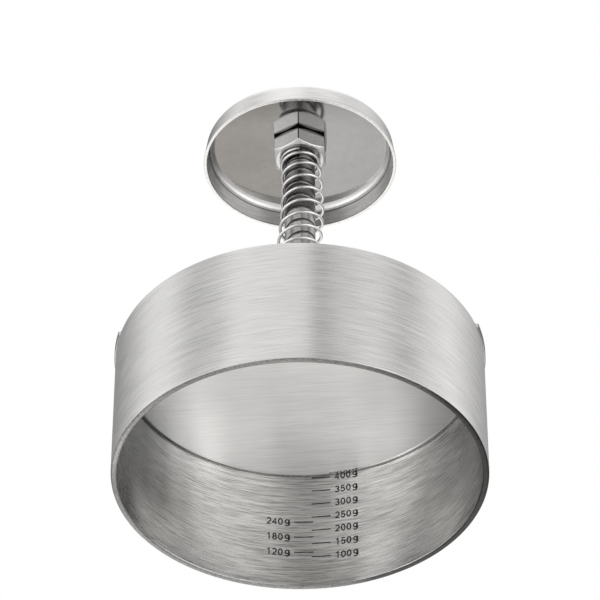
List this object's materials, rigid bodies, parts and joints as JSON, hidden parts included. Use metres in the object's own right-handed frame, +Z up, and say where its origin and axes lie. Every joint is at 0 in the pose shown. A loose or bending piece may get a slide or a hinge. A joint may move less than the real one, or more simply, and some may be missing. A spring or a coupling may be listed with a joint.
{
  "type": "patty press",
  "caption": "Round stainless patty press: an open mould ring with a crossbar, a sprung plunger with a flat press plate, and a shallow round cap as its handle.",
  "frame": {"origin": "centre of the mould ring's lower rim, in the plane that rests on the board", "axes": "+Z up along the plunger's axis towards the handle, X along the crossbar"},
  "size_m": [0.1158, 0.115, 0.1398],
  "materials": {
    "ring_steel": "fine brushing around the ring",
    "crossbar_steel": "fine brushing along the strap",
    "bush_steel": "fine turned",
    "plate_steel": "fine straight brushing",
    "rod_steel": "polished",
    "spring_wire": "bright drawn wire",
    "nut_steel": "polished with bright chamfers",
    "handle_steel": "brushed outside, polished underneath"
  },
  "bodies": {
    "mould": {"mould_ring": "ring_steel", "crossbar": "crossbar_steel", "guide_bush": "bush_steel"},
    "return_spring": {"spring": "spring_wire"},
    "plunger": {"press_rod": "rod_steel", "press_plate": "plate_steel", "handle_nut": "nut_steel", "handle_cap": "handle_steel"}
  },
  "joints": [
    {"name": "plunger_spin", "type": "hinge", "parent": "mould", "child": "return_spring", "pos_m": [0, 0, 0], "axis": [0, 0, 1], "continuous": true},
    {"name": "press_stroke", "type": "slide", "parent": "return_spring", "child": "plunger", "axis": [0, 0, -1], "range_m": [0, 0.0436], "stiffness_N_per_m": 350, "springref_m": -0.012, "deforming": ["spring"]}
  ]
}
